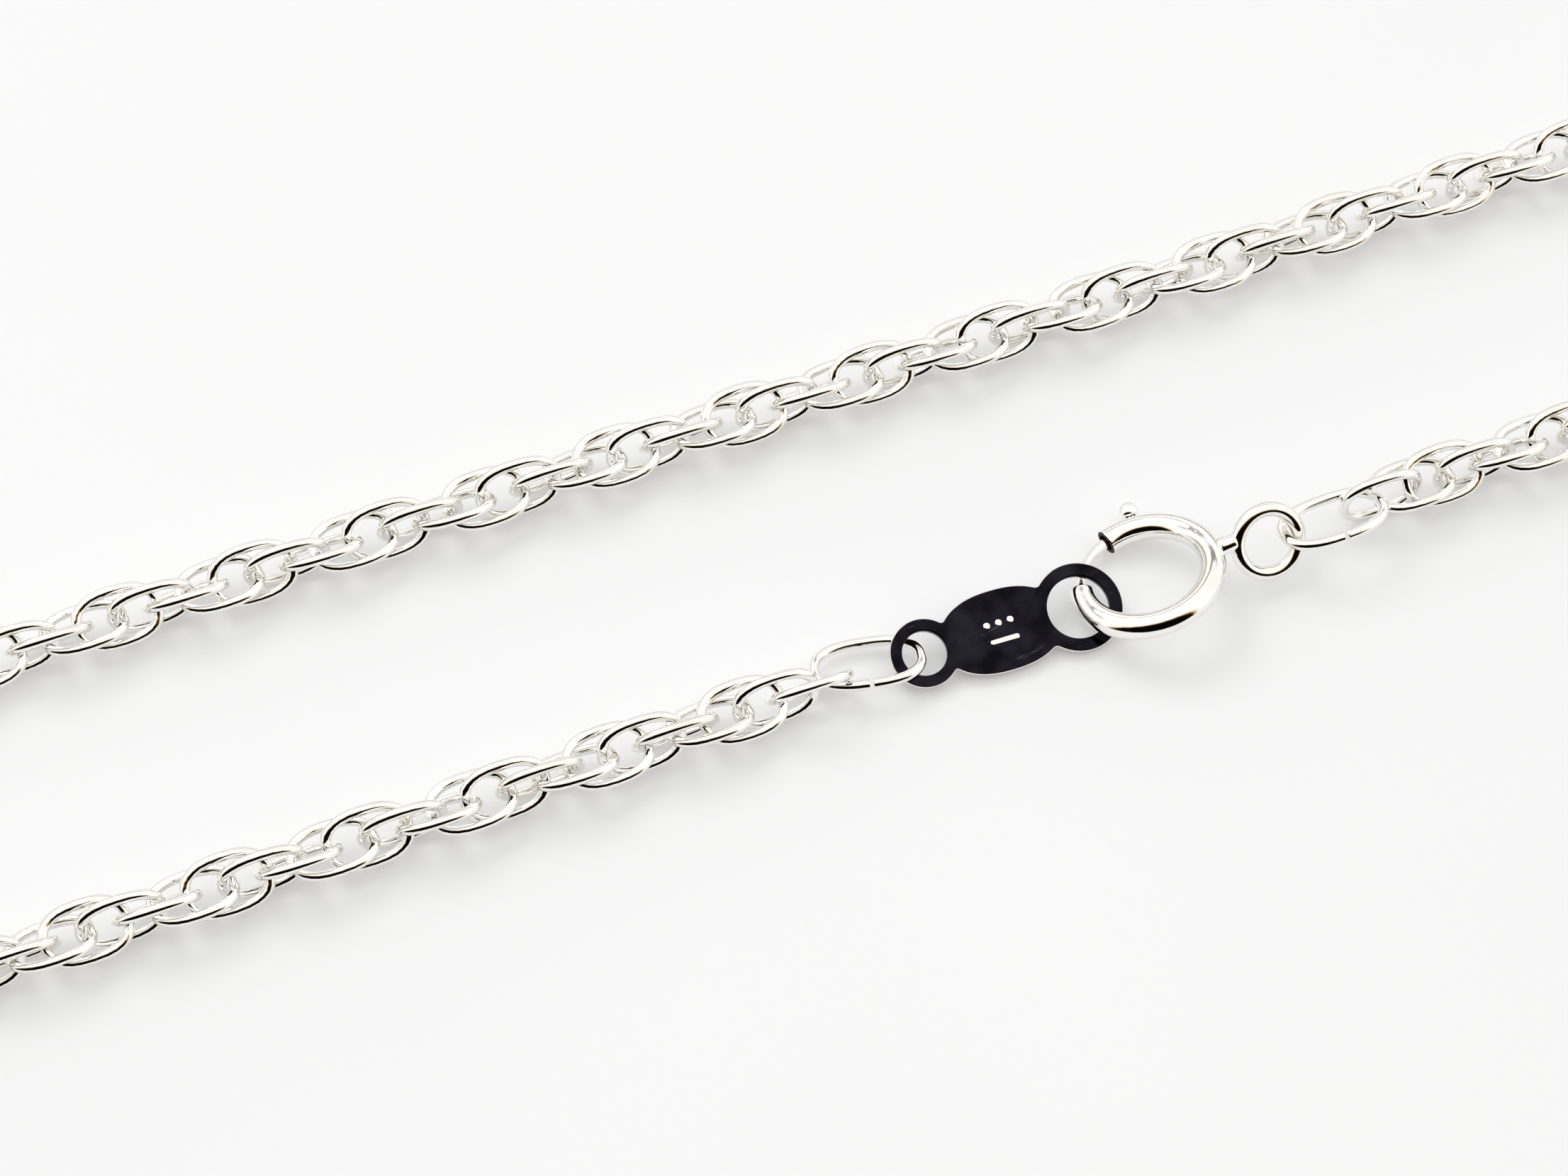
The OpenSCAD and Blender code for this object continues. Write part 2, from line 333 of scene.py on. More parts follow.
def oval_line(a, b, t, power):
    """An oval of half length a and half width b: |x / a| to the power, plus |y / b| to the power, is
    one. A power of 2 is an ellipse, and more is fuller. Gives its points at the angles t, with the
    directions across and up."""
    x, y = np.cos(t), np.sin(t)
    out, steep = 2 / power, 2 - 2 / power
    line = np.stack([a * np.sign(x) * np.abs(x) ** out, b * np.sign(y) * np.abs(y) ** out, 0 * t], -1)
    across = np.stack([np.sign(x) * np.abs(x) ** steep / a, np.sign(y) * np.abs(y) ** steep / b,
                       0 * t], -1)
    across /= np.linalg.norm(across, axis=1)[:, None]
    return line, across, np.tile([0.0, 0.0, 1.0], (len(t), 1))


def x_line(x):
    """Points on the X axis, with the directions Y and Z."""
    return (np.stack([x, 0 * x, 0 * x], -1), np.tile([0.0, 1.0, 0.0], (len(x), 1)),
            np.tile([0.0, 0.0, 1.0], (len(x), 1)))


# %% [markdown]
# ## Where things lie
# The necklace is a long loop of two straight runs with a half circle at each end. The fastener sits
# on the near run, right of the middle, as in the photograph. What hangs on it is placed from it.

# %% Places
RUN_GAP, LOOP_Y, CLASP_X = 14.4, 1.11, 14.75
BEND_R = RUN_GAP / 2
NEAR_Y, FAR_Y = LOOP_Y - BEND_R, LOOP_Y + BEND_R
print("near run at y", round(NEAR_Y, 2), "mm, far run at y", round(FAR_Y, 2), "mm")

# %% [markdown]
# ## The spring ring's tube
# The fastener is a tube bent to a ring, open at its mouth, with a slot in its outer wall for the
# thumb ball's stem. It is an outer and an inner skin on the same grid: both leave the slot's faces
# out, and strips join the two skins round the slot and at the tube's two ends. A slit made by
# cutting a finished tube would leave ragged faces, and this grid has none. Here and below, names
# that end in ROWS or SIDES count the steps of a grid, and names that end in FREE say how much room
# its rows leave at the ends of a stretch.

# %% The tube
RING_D, TUBE_D, TUBE_WALL = 7.1, 1.15, 0.18
MOUTH_ANGLE, SEAT_ANGLE = 104.0, 165.0
RING_Z, RING_OUT, RING_PITCH, RING_ROLL = 1.6, 0.2, 16.0, 10.0
BALL_ANGLE, BOLT_THROW, SLOT_SPARE, SLOT_W = 77.0, 54.0, 5.0, 0.46
RING_R = (RING_D - TUBE_D) / 2
slot_from, slot_to = BALL_ANGLE - BOLT_THROW - SLOT_SPARE + 360, BALL_ANGLE + SLOT_SPARE + 360
LIP_ANGLE, LIP_SHARES, LIP_WALL = 1.4, (0, 0.1, 0.25, 0.45, 0.7, 1.0), 0.45
LONG_ROWS, LONG_FREE, SLOT_ROWS = 84, (4.0, 2.0), 28
SHORT_ROWS, SHORT_FREE = 8, (3.0, 3.0)
PAINTED_SHADE_FROM = 0.9
ring_matrix = turn("X", -RING_PITCH) @ turn("Y", -RING_ROLL)
ring_middle = np.array([CLASP_X, NEAR_Y - RING_OUT, RING_Z])


def tube_skin(theta, radius, around, across):
    """A skin of the tube: the ring's radius + radius * cos outwards, radius * sin up. The columns
    stand evenly round the tube between the slot's edges, then across the slot."""
    edge = np.arcsin(SLOT_W / 2 / radius)[:, None]
    phi = np.concatenate([edge + (2 * np.pi - 2 * edge) * np.linspace(0, 1, around),
                          -edge + 2 * edge * np.linspace(0, 1, across + 2)[1:-1]], 1)
    reach, t = RING_R + radius[:, None] * np.cos(phi), np.radians(theta)[:, None]
    height = radius[:, None] * np.sin(phi)
    return np.stack([reach * np.cos(t), reach * np.sin(t), height], -1).reshape(-1, 3)


def tube_surface(around=26, across=3):
    """Two skins and the strips between them, and where the painted shade lies: a dark brown painted
    on the inner skin and on the rounded lip at each end. Rows go from the seat the long way to the
    slot, along it and the short way to the mouth. Over LIP_ANGLE at each end the skins draw together
    by a quarter circle, to the share LIP_WALL of the wall's thickness, which rounds the mouth."""
    lip = np.array(LIP_SHARES) * LIP_ANGLE
    mouth = MOUTH_ANGLE + 360
    theta = np.concatenate([
        SEAT_ANGLE + lip,
        np.linspace(SEAT_ANGLE + LONG_FREE[0], slot_from - LONG_FREE[1], LONG_ROWS),
        np.linspace(slot_from, slot_to, SLOT_ROWS),
        np.linspace(slot_to + SHORT_FREE[0], mouth - SHORT_FREE[1], SHORT_ROWS),
        mouth - lip[::-1]])
    full = end_rounding(theta - SEAT_ANGLE, theta[-1] - SEAT_ANGLE, lip[-1])
    middle = TUBE_D / 2 - TUBE_WALL / 2
    half_wall = TUBE_WALL / 2 * (LIP_WALL + (1 - LIP_WALL) * full)
    skins = [tube_skin(theta, middle + side * half_wall, around, across) for side in (1, -1)]
    n, columns = len(theta), around + across
    first = len(lip) + LONG_ROWS
    last = first + SLOT_ROWS - 1
    keep = np.ones((n - 1, columns), bool)
    keep[first:last, around - 1:] = False
    skin = grid_faces(n, columns, False).reshape(n - 1, columns, 4)[keep]
    inner = n * columns
    lines = [np.arange(first, last + 1) * columns + column for column in (0, around - 1)]
    lines += [row * columns + np.append(np.arange(around - 1, columns), 0) for row in (first, last)]
    lines += [row * columns + np.append(np.arange(columns), 0) for row in (0, n - 1)]
    strips = [np.stack([line[:-1], line[1:], line[1:] + inner, line[:-1] + inner], -1)
              for line in lines]
    # Painted shade: the whole inner skin takes the dark brown colour, and so do the outer skin's rows
    # on the rounded lip at each end.
    dark = np.concatenate([np.repeat(full < PAINTED_SHADE_FROM, columns), np.ones(inner)])
    return np.concatenate(skins), np.concatenate([skin, skin + inner] + strips), dark


*tube, inside = tube_surface()
print("tube:", len(tube[0]), "points")

# %% [markdown]
# ## The neck and the eyelet
# A small ring of thicker wire is soldered to the tube by a short neck. Solder creeps into the
# corners, so the neck is thickest where it meets the tube and runs into the eyelet without a step.

# %% Neck and eyelet
EYELET_D, EYELET_WIRE, NECK_D, NECK_L, DIP = 3.6, 0.68, 0.8, 0.45, 0.05
EYELET_ANGLE, EYELET_LEAN, EYELET_TWIST, EYELET_DROP = -6.0, 66.0, 12.0, 28.0
SOLDER_IN, SOLDER_OUT, SOLDER_SWELL = 0.17, 0.3, 0.05
NECK_ROWS, NECK_SIDES, EYELET_STEP, TIP_FREE = 33, 28, 5, 0.02


def neck_surface():
    """A rod from inside the tube's wall into the eyelet's wire. Its radius falls evenly from the
    tube's side to the wire's, and each end is rounded off inside what it joins. Its rows lie as the
    cosine of evenly spaced angles, which draws them together at the ends."""
    length = SOLDER_IN + NECK_L + SOLDER_OUT
    way = length / 2 * (1 - np.cos(np.linspace(TIP_FREE, np.pi - TIP_FREE, NECK_ROWS)))
    radius = np.interp(way, [0, length], [NECK_D / 2 + SOLDER_SWELL, EYELET_WIRE / 2])
    radius = radius * end_rounding(way, length, SOLDER_IN)
    return carried(*x_line(RING_D / 2 - SOLDER_IN + way), radius, NECK_SIDES)


def eyelet_surface():
    """A wire ring that touches the neck with its rim, leaned, twisted and dropped as it hangs."""
    line = arc_line((EYELET_D - EYELET_WIRE) / 2, np.arange(0, 360, EYELET_STEP))
    points, faces = carried(*line, EYELET_WIRE / 2, NECK_SIDES, ring=True)
    hang = turn("Z", EYELET_TWIST) @ turn("X", EYELET_LEAN) @ turn("Z", -EYELET_DROP)
    return put(points + [EYELET_D / 2 - DIP, 0, 0], hang, [RING_D / 2 + NECK_L, 0, 0]), faces


soldered = joined([neck_surface(), eyelet_surface()])
ring_points, ring_faces = joined([tube, (put(soldered[0], turn("Z", EYELET_ANGLE)), soldered[1])])
spring_ring = piece("spring_ring_tube", (put(ring_points, ring_matrix, ring_middle), ring_faces),
                    silver, "necklace", "spring_ring")
# The inside attribute is the painted shade's mask; the neck and eyelet get none.
set_attribute(spring_ring, "inside", np.append(inside, np.zeros(len(soldered[0]))))

# %% [markdown]
# ## The bolt
# The bolt is a bent rod that fills the gap between the tube's mouth and its other end. A stem comes
# out of the slot and carries the ball that a fingernail pulls back.

# %% The bolt
BOLT_D, BALL_D, STEM_D, BALL_GAP = 0.5, 0.94, 0.3, 0.08
BOLT_TAIL, BOLT_REACH = 20.0, 4.0
END_ROWS, ROD_ROWS, ROD_FREE, ROD_SIDES, LEAST_SHARE = 9, 44, 1.5, 24, 0.02
STEM_ROWS, STEM_FREE, BALL_ROWS, BALL_TOP, BALL_SIDES = 8, 0.01, 26, 0.03, 32


def bolt_surface():
    """Rod: a circle carried along an arc, with rounded ends. Stem and ball: one turned profile along
    the ring's radius, whose ball part is a circle's half chord."""
    start, stop = BALL_ANGLE - BOLT_TAIL, SEAT_ANGLE + BOLT_REACH
    end = math.degrees(BOLT_D / 2 / RING_R)
    ease = end * (1 - np.cos(np.linspace(0, np.pi / 2, END_ROWS)))
    body = np.linspace(start + end + ROD_FREE, stop - end - ROD_FREE, ROD_ROWS)
    angles = np.concatenate([start + ease, body, stop - ease[::-1]])
    share = np.maximum(end_rounding(angles - start, stop - start, end), LEAST_SHARE)
    rod = carried(*arc_line(RING_R, angles), share * BOLT_D / 2, ROD_SIDES)
    ball_r = BALL_D / 2
    ball_at = RING_D / 2 + BALL_GAP + ball_r
    t = np.linspace(np.pi - math.asin(STEM_D / BALL_D), BALL_TOP, BALL_ROWS)
    x = np.concatenate([np.linspace(RING_R, ball_at - ball_r - STEM_FREE, STEM_ROWS),
                        ball_at + ball_r * np.cos(t)])
    radius = np.concatenate([np.full(STEM_ROWS, STEM_D / 2), ball_r * np.sin(t)])
    stem = carried(*x_line(x), radius, BALL_SIDES)
    points, faces = joined([rod, (put(stem[0], turn("Z", BALL_ANGLE)), stem[1])])
    return put(points, ring_matrix, ring_middle), faces


piece("bolt_and_ball", bolt_surface(), silver, "bolt", "bolt")

# %% [markdown]
# ## The plate
# The plate is stamped from sheet: an oval body between a large and a small eye. Its half width at
# any place is a soft maximum of the ovals and the bar that it is made of, which leaves a small
# fillet in each notch.

# %% The plate's outline
PLATE_L, PLATE_W, BODY_AT, BODY_L, BAR_W, PLATE_T = 7.2, 3.7, 3.6, 5.6, 1.8, 0.38
SMALL_EYE_D, SMALL_HOLE_D, LARGE_EYE_D, LARGE_HOLE_D = 3.1, 2.0, 4.0, 2.8
CIRCLE_POWER, BODY_POWER, SOFT_POWER = 2, 2.3, 16
OUTLINE_POINTS, NOTCH_REACH = 3000, 0.5
PLATE_AT, PLATE_OUT, PLATE_PITCH, PLATE_LIFT, PLATE_TURN = 3.3, 0.2, 20.0, 0.1, -2.2
plate_matrix = turn("Z", PLATE_TURN) @ turn("X", PLATE_PITCH)
plate_middle = np.array([CLASP_X - PLATE_AT, NEAR_Y - PLATE_OUT,
                         PLATE_LIFT + LARGE_EYE_D / 2 * math.sin(math.radians(PLATE_PITCH))])


def half_width(x):
    """Soft maximum (sum of powers, to one over the power) of what the plate is made of at x: two
    circles, the body's oval and the bar between them."""
    ovals = [(0, LARGE_EYE_D, LARGE_EYE_D, CIRCLE_POWER),
             (-PLATE_L, SMALL_EYE_D, SMALL_EYE_D, CIRCLE_POWER),
             (-BODY_AT, BODY_L, PLATE_W, BODY_POWER)]
    widths = [width / 2 * np.maximum(1 - np.abs((x - at) / length * 2) ** power, 0) ** (1 / power)
              for at, length, width, power in ovals]
    widths.append(np.where((x > -PLATE_L) & (x < 0), BAR_W / 2, 0))
    return np.sum(np.array(widths) ** SOFT_POWER, 0) ** (1 / SOFT_POWER)


def half_outline(hole_at, way, tip, count):
    """The outline from the body's middle over the top to the tip, in points evenly spaced along it,
    with the way to the notch between body and eye. It is seen from the hole, with the tip at +X."""
    u = -BODY_AT + (BODY_AT + tip) * np.sin(np.linspace(0, np.pi / 2, OUTLINE_POINTS))
    line = np.stack([u, half_width(hole_at + way * u)], -1)
    line[-1, 1] = 0
    along = np.append(0, np.cumsum(np.linalg.norm(np.diff(line, axis=0), axis=1)))
    by_the_eye = (u > -tip - NOTCH_REACH) & (u < 0)
    notch = along[np.argmin(np.where(by_the_eye, line[:, 1], np.inf))]
    at = np.linspace(0, along[-1], count)
    return np.stack([np.interp(at, along, line[:, k]) for k in range(2)], -1), at, notch


# %% [markdown]
# The plate is cut in thought at its body's middle. Each half is a ring of columns round its own
# hole. A column starts in the hole, climbs over the hole's rounded rim, crosses the face to the
# outline, goes round the outer edge and comes back below. Along the cut the halves share points, so
# the two become one closed surface.

# %% The plate's halves
EDGE_R, EDGE_BAND, EDGE_ROWS = 0.07, 0.06, 5
CUT_ANGLE, NOTCH_ANGLE, FACE_SHARES = 168, 154, (0.25, 0.5, 0.75)
HALF_COLUMNS, SEAM_COLUMNS, SAME_DECIMALS = 76, 30, 4


def half_plate(hole_at, hole_r, way, tip, count=HALF_COLUMNS, seam=SEAM_COLUMNS):
    """Points and faces of one half. Columns go round the hole, rows from the hole's wall outwards
    over the top and back below. The rims are quarter circles with the radius EDGE_R."""
    upper, at, notch = half_outline(hole_at, way, tip, count)
    slope = np.gradient(upper, axis=0)
    slope[0], slope[-1] = (1, 0), (0, -1)
    out = np.stack([-slope[:, 1], slope[:, 0]], -1)
    out /= np.linalg.norm(out, axis=1)[:, None]
    hole_angle = np.interp(at, [0, notch, at[-1]], [CUT_ANGLE, NOTCH_ANGLE, 0])
    mirror = np.array([1, -1])
    loop = np.concatenate([upper, upper[-2::-1] * mirror])
    out = np.concatenate([out, out[-2::-1] * mirror])
    hole_angle = np.concatenate([hole_angle, -hole_angle[-2::-1]])
    high = upper[0, 1] - EDGE_R
    cut = np.stack([np.full(seam, -BODY_AT), np.linspace(-high, high, seam + 2)[1:-1]], -1)
    outlined = len(loop)
    cut_angle = np.linspace(-CUT_ANGLE, CUT_ANGLE - 360, seam + 2)[1:-1]
    hole_angle = np.radians(np.concatenate([hole_angle, cut_angle]))
    hole_way = np.stack([np.cos(hole_angle), np.sin(hole_angle)], -1)
    rim_in, rim_out = hole_way * (hole_r + EDGE_R), np.concatenate([loop - out * EDGE_R, cut])
    loop, out = np.concatenate([loop, cut]), np.concatenate([out, np.zeros((seam, 2))])
    turned = np.radians(np.linspace(0, 90, EDGE_ROWS))
    near = EDGE_BAND / np.linalg.norm(rim_out - rim_in, axis=1)[:, None]
    top = [(hole_way * (hole_r + EDGE_R * (1 - np.cos(a))), PLATE_T - EDGE_R + EDGE_R * np.sin(a))
           for a in turned]
    top += [(rim_in + (rim_out - rim_in) * s, PLATE_T) for s in (near, *FACE_SHARES, 1 - near)]
    outer_rows = len(top)
    top += [(loop - out * EDGE_R * (1 - np.sin(a)), PLATE_T - EDGE_R + EDGE_R * np.cos(a))
            for a in turned]
    rows = top + [(xy, PLATE_T - z) for xy, z in top[::-1]]
    points = np.stack([np.column_stack([hole_at + way * xy[:, 0], xy[:, 1], np.full(len(xy), z)])
                       for xy, z in rows])
    n, columns = points.shape[:2]
    faces = grid_faces(n, columns).reshape(n, columns, 4)
    keep = np.ones((n, columns), bool)
    keep[outer_rows:n - 1 - outer_rows, outlined - 1:] = False
    edge = np.zeros((n, columns))
    edge[outer_rows + 2:n - outer_rows - 2] = 1
    return points.reshape(-1, 3), faces[keep], edge.ravel()


def plate_surface():
    """Both halves, with the points that they share made one and unused points left out."""
    large = half_plate(0.0, LARGE_HOLE_D / 2, 1, LARGE_EYE_D / 2)
    small = half_plate(-PLATE_L, SMALL_HOLE_D / 2, -1, SMALL_EYE_D / 2)
    points, faces = joined([large[:2], small[:2]])
    edge = np.concatenate([large[2], small[2]])
    used, faces = np.unique(faces, return_inverse=True)
    faces, points, edge = faces.reshape(-1, 4), points[used], edge[used]
    _, first, same = np.unique(np.round(points, SAME_DECIMALS), axis=0,
                               return_index=True, return_inverse=True)
    return points[first], same.ravel()[faces], edge[first]


plate_points, plate_faces, cut_edge = plate_surface()
plate = piece("tag_plate_stamped", (put(plate_points, plate_matrix, plate_middle), plate_faces),
              plating, "necklace", "tag_plate")
set_attribute(plate, "cut_edge", cut_edge)

# %% [markdown]
# ## Marks on the plate
# A real plate carries small bright marks. This one has none that can be read: three dots in a row
# and a short bar, as low domes of silver pressed up through the plating.

# %% Marks
MARK_H, MARK_SINK, FOOT_DEPTH, DOT_R, BAR_R, BAR_HALF = 0.03, 0.01, 0.03, 0.16, 0.13, 0.55
DOTS, DOTS_AT, DOTS_STEP, BAR_AT = 3, (-4.2, 0.35), 0.55, (-3.6, -0.45)
DOME_SHARES, DOME_STEP = (1.0, 0.97, 0.85, 0.65, 0.4, 0.15), 15


def mark(x, y, radius, half_length=0.0):
    """A low dome whose outline is a circle, or two half circles joined by sides: height times the
    root of 1 - s * s, at the share s of the way from its middle line to its outline. It is sunk a
    little, and its foot lies deeper still."""
    s = np.array(DOME_SHARES)
    t = np.radians(np.arange(0, 360, DOME_STEP))
    spine = np.stack([half_length * np.sign(np.round(np.cos(t), 9)), 0 * t], -1)
    side = spine + radius * np.stack([np.cos(t), np.sin(t)], -1)
    xy = spine + (side - spine) * s[:, None, None]
    ground, foot_z = PLATE_T - MARK_SINK, PLATE_T - FOOT_DEPTH
    z = np.broadcast_to((ground + MARK_H * np.sqrt(1 - s ** 2))[:, None], xy.shape[:2])
    foot = np.concatenate([xy[0], np.full((len(t), 1), foot_z)], 1)
    points = np.concatenate([foot[None], np.concatenate([xy, z[..., None]], -1)])
    n, columns = points.shape[:2]
    rim = np.arange(columns)
    tips = [[0, 0, foot_z], [0, 0, ground + MARK_H]]
    faces = np.concatenate([grid_faces(n, columns, False), fan_faces(rim, n * columns),
                            fan_faces(rim + (n - 1) * columns, n * columns + 1)])
    return np.concatenate([points.reshape(-1, 3), tips]) + [x, y, 0], faces


dots = [mark(DOTS_AT[0] + DOTS_STEP * k, DOTS_AT[1], DOT_R) for k in range(DOTS)]
mark_points, mark_faces = joined(dots + [mark(*BAR_AT, BAR_R, BAR_HALF)])
piece("tag_plate_marks", (put(mark_points, plate_matrix, plate_middle), mark_faces),
      silver, "necklace", None)

# %% [markdown]
# ## The two oval rings
# One hangs on the eyelet and one in the plate's small eye. Each is one turn of wire whose ends meet
# in a butt joint on a long side. A soft rounding of 0.05 mm at the cut ends is what tumbling leaves.
# The frame's wires are drawn thin enough to keep 0.1 mm of air between loose pieces. Here the wire
# is nearer its true thickness, grown inwards, so a ring is as long and as broad as the frame's.

# %% The oval rings
OVAL_L, OVAL_W, OVAL_WIRE, OVAL_JOINT, WIRE_ROUND, OVAL_POWER = 5.2, 3.1, 0.49, 0.06, 0.05, 2.5
CUT_ROWS, TURN_ROWS, OVAL_SIDES = 6, 73, 24
TAG_RING_AT, TAG_RING_TURNS = (0.13, 0.42, 0.13), (-14.4, -2.5, -13.2)
END_LINK_AT, END_LINK_TURNS = (2.22, -0.29, -0.35), (-16.3, -1.1, 0.9)
neck_turn = math.radians(EYELET_ANGLE)
neck_way = np.array([[math.cos(neck_turn), math.sin(neck_turn), 0.0]])
neck_end = put((RING_D / 2 + NECK_L) * neck_way, ring_matrix, ring_middle)[0]
small_hole = put(np.array([[-PLATE_L, 0.0, 0.0]]), plate_matrix, plate_middle)[0]
end_link_middle = neck_end + END_LINK_AT + [OVAL_L / 2, 0, 0]
tag_ring_middle = small_hole + TAG_RING_AT - [OVAL_L / 2, 0, 0]
print("end link round", np.round(end_link_middle, 3).tolist(),
      "tag ring round", np.round(tag_ring_middle, 3).tolist())


def oval_ring(place, turns):
    """Wire from one side of the joint, in the middle of a long side, round the oval to the other.
    The rows of an even turn that lie nearest to the joint give way to those of the cut ends."""
    a, b = (OVAL_L - OVAL_WIRE) / 2, (OVAL_W - OVAL_WIRE) / 2
    lead = (OVAL_JOINT / 2 + WIRE_ROUND * (1 - np.cos(np.linspace(0, np.pi / 2, CUT_ROWS)))) / a
    even = np.linspace(0, 2 * np.pi, TURN_ROWS)[2:-2]
    t = np.concatenate([lead, even, 2 * np.pi - lead[::-1]]) - np.pi / 2
    middle, across, up = oval_line(a, b, t, OVAL_POWER)
    way = np.append(0, np.cumsum(np.linalg.norm(np.diff(middle, axis=0), axis=1)))
    radius = OVAL_WIRE / 2 - WIRE_ROUND + WIRE_ROUND * end_rounding(way, way[-1], WIRE_ROUND)
    points, faces = carried(middle, across, up, radius, OVAL_SIDES)
    matrix = turn("Z", turns[2]) @ turn("Y", turns[1]) @ turn("X", turns[0])
    return put(points, matrix, place), faces


for node, middle, turns in (("tag_ring", tag_ring_middle, TAG_RING_TURNS),
                            ("end_link", end_link_middle, END_LINK_TURNS)):
    piece(node + "_wire", oval_ring(middle, turns), silver, "necklace", node)

# %% [markdown]
# ## The rope's line
# The rope leaves the fastener, runs straight, turns round a half circle, comes back along the plain
# run, turns again and ends at the plate's oval ring. Its first and last links hang in the two oval
# rings, which says where it starts and ends. A link's place is a way along that line, and links sit
# a little closer round the two bends, where the line on the inside is shorter.

# %% The line
NECKLACE_L, LINK_L, LINK_PITCH, BEND_EASE = 398.5, 4.1, 1.55, 0.03
ROPE_START, ROPE_END = 1.89, 1.71
start_x = end_link_middle[0] + OVAL_L / 2 - ROPE_START + LINK_L / 2
finish_x = tag_ring_middle[0] - OVAL_L / 2 + ROPE_END - LINK_L / 2
bend_l = math.pi * BEND_R
bend_links = bend_l / (LINK_PITCH - BEND_EASE)
straight_l = NECKLACE_L - (start_x - finish_x) - 2 * bend_l
link_count = round(straight_l / LINK_PITCH + 2 * bend_links) + 1
half_run = ((link_count - 1 - 2 * bend_links) * LINK_PITCH + start_x - finish_x) / 4
stretches = [half_run - start_x, bend_l, 2 * half_run, bend_l, half_run + finish_x]
spacings = [LINK_PITCH, LINK_PITCH - BEND_EASE, LINK_PITCH, LINK_PITCH - BEND_EASE, LINK_PITCH]
way_marks = np.cumsum([0] + stretches)
link_marks = np.cumsum([0] + [length / spacing for length, spacing in zip(stretches, spacings)])
print(link_count, "links, half a run is", round(half_run, 3), "mm")
print("stretches end at links", np.round(link_marks[1:], 2).tolist())


def on_line(way):
    """Place (x, y) and heading in degrees for each way: straight, half circle, straight, half
    circle, straight."""
    _, a, b, c, d, _ = way_marks
    right, left = -90 + (way - a) / bend_l * 180, 90 + (way - c) / bend_l * 180
    stretch = [way < a, way < b, way < c, way < d]
    right_way, left_way = np.radians(right), np.radians(left)
    x = np.select(stretch, [start_x + way, half_run + BEND_R * np.cos(right_way),
                            half_run - (way - b), -half_run + BEND_R * np.cos(left_way)],
                  -half_run + way - d)
    y = np.select(stretch, [NEAR_Y + 0 * way, LOOP_Y + BEND_R * np.sin(right_way), FAR_Y + 0 * way,
                            LOOP_Y + BEND_R * np.sin(left_way)], NEAR_Y)
    heading = np.select(stretch, [0 * way, right + 90, 180 + 0 * way, left + 90], 0)
    return x, y, heading


# %% [markdown]
# ## One link
# A link is round wire bent to an oval, and its wire too is nearer its true thickness here, grown
# inwards. There are hundreds of links, so each gets a coarse cage of 84 faces, and a Subdivision
# Surface rounds it. That rounding pulls a cage inwards, so the cage is worked out backwards: its
# points are the ones whose smoothed surface passes exactly through the wire's.

# %% The link's cage
LINK_WIRE, LINK_W, LINK_POWER = 0.47, 2.83, 2.5
LINK_STEPS, WIRE_SIDES = 14, 6


def cage_for(line):
    """Solves (previous + 4 * this + next) / 6 = line point for a closed line of points."""
    n = len(line)
    pull = (4 * np.eye(n) + np.roll(np.eye(n), 1, 0) + np.roll(np.eye(n), -1, 0)) / 6
    return np.linalg.solve(pull, line)


def link_cage():
    """Cage of one link in its own plane: rings of WIRE_SIDES points round the wire's middle line."""
    t = 2 * np.pi * np.arange(LINK_STEPS) / LINK_STEPS
    a, b = (LINK_L - LINK_WIRE) / 2, (LINK_W - LINK_WIRE) / 2
    middle, across, up = oval_line(a, b, t, LINK_POWER)
    phi = 2 * np.pi * np.arange(WIRE_SIDES) / WIRE_SIDES
    section = cage_for(np.stack([np.cos(phi), np.sin(phi)], -1) * LINK_WIRE / 2)
    wire = (middle[:, None] + section[None, :, :1] * across[:, None]
            + section[None, :, 1:] * up[:, None])
    cage = np.stack([cage_for(wire[:, k]) for k in range(WIRE_SIDES)], 1)
    return cage.reshape(-1, 3), grid_faces(len(middle), WIRE_SIDES)


cage_points, cage_faces = link_cage()
print("one link:", len(cage_faces), "faces")

# %% [markdown]
# ## The rope
# Each link is turned 47.22 degrees from the one before it and passes through the two before it: that
# turn is what makes the row of ovals look like a twisted rope. The first link hangs on an oval ring
# and follows that instead. Whole halves of the rope are worked out as one array of links.

# %% Laying the links
LINK_TURN, FIRST_TURN, LEAD_TURN = 47.22, 126.0, 88.0
SPLIT = link_count // 2


def rope_links(first, last):
    """The links first to last - 1: the cage, turned about its own line, headed along the rope and
    put down at half a link's width above the ground."""
    i = np.arange(first, last)
    x, y, heading = on_line(np.interp(i, link_marks, way_marks))
    turns = np.where(i == 0, LEAD_TURN, FIRST_TURN + i * LINK_TURN)
    matrix = turn("Z", heading) @ turn("X", turns)
    places = np.stack([x, y, np.full_like(x, LINK_W / 2)], -1)[:, None]
    points = put(cage_points[None], matrix, places)
    steps = (np.arange(len(i)) * len(cage_points))[:, None, None]
    return points.reshape(-1, 3), (cage_faces[None] + steps).reshape(-1, 4)


for half, first, last in (("rope_a", 0, SPLIT), ("rope_b", SPLIT, link_count)):
    rope = piece(half + "_links", rope_links(first, last), silver, "necklace", half,
                 sharp=180.0)
    rounding = rope.modifiers.new("rounding", "SUBSURF")
    rounding.levels = rounding.render_levels = 1

# %% [markdown]
# ## The white surface
# A broad sheet of white acrylic lies under the chain. It fills the view and throws light back up
# into the silver. Some light also comes up through it from below, which keeps the shadows pale.

# %% The board
BOARD_HALF = 4.0


